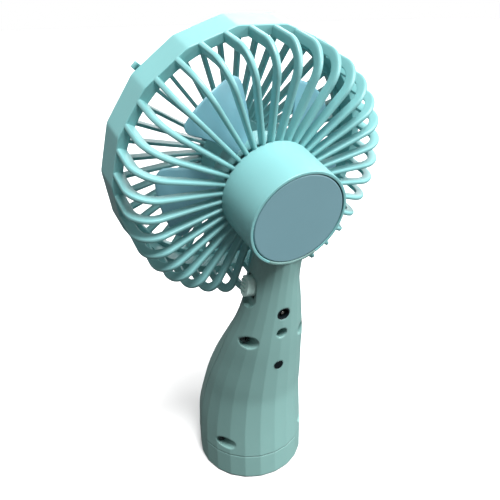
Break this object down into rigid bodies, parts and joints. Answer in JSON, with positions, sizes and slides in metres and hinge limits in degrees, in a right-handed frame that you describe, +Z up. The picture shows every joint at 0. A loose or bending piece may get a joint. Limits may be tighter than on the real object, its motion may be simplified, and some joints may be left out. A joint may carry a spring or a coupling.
{
  "type": "handheld electric fan",
  "caption": "Handheld electric fan: faceted ring head with a radial wire-style rear guard, bladed impeller, twist-off front guard and tapered round-footed handle with a slide switch.",
  "frame": {"origin": "centre of the round base's underside, on the plane of symmetry", "axes": "+Z up; the front of the fan faces -Y and its back +Y; +X to the side with the switch; the head's axis tips up by 15.2 degrees at the front"},
  "size_m": [0.1, 0.0659, 0.1832],
  "materials": {
    "mint_plastic": "satin",
    "cap_plastic": "matte",
    "impeller_plastic": "satin",
    "button_plastic": "satin",
    "pad_rubber": "matte",
    "screw_steel": "satin",
    "black_plastic": "matte",
    "board_laminate": "satin",
    "plated_metal": "polished",
    "dark_lens": "polished",
    "cell_sleeve": "satin",
    "foam": "matte",
    "red_insulation": "satin",
    "black_insulation": "satin",
    "can_steel": "satin",
    "magnet": "matte",
    "white_plastic": "matte",
    "bush_brass": "satin",
    "copper_wire": "satin"
  },
  "bodies": {
    "handle": {"rear_guard": "mint_plastic", "rear_cap": "cap_plastic", "handle_rear_shell": "mint_plastic", "handle_front_shell": "mint_plastic", "base_cap": "mint_plastic", "base_pad": "pad_rubber", "shell_screws": "screw_steel", "switch_body": "black_plastic", "circuit_board": "board_laminate", "board_parts": "black_plastic", "dc_jack": "black_plastic", "dc_jack_pin": "plated_metal", "charge_led": "dark_lens", "battery_cell": "cell_sleeve", "battery_tabs": "plated_metal", "battery_pads": "foam", "battery_wire_positive": "red_insulation", "battery_wire_negative": "black_insulation", "motor_wire_positive": "red_insulation", "motor_wire_negative": "black_insulation", "motor_can": "can_steel", "motor_magnets": "magnet", "motor_end_bell": "white_plastic", "motor_front_bush": "bush_brass", "motor_rear_bush": "bush_brass", "motor_terminals": "bush_brass", "motor_screws": "screw_steel"},
    "rotor": {"impeller": "impeller_plastic", "motor_shaft": "can_steel", "rotor_core": "can_steel", "rotor_windings": "copper_wire", "commutator": "bush_brass"},
    "switch": {"switch_button": "button_plastic"},
    "front": {"front_guard": "mint_plastic", "front_badge": "cap_plastic"}
  },
  "joints": [
    {"name": "impeller_spin", "type": "hinge", "parent": "handle", "child": "rotor", "pos_m": [0, 0.0383, 0.1231], "axis": [0, -0.965, 0.2622], "continuous": true},
    {"name": "switch_slide", "type": "slide", "parent": "handle", "child": "switch", "axis": [-0.1908, 0, 0.9816], "range_m": [-0.0035, 0]},
    {"name": "front_guard_twist", "type": "hinge", "parent": "handle", "child": "front", "pos_m": [0, 0.0383, 0.1231], "axis": [0, -0.965, 0.2622], "range_deg": [0, 10]}
  ]
}
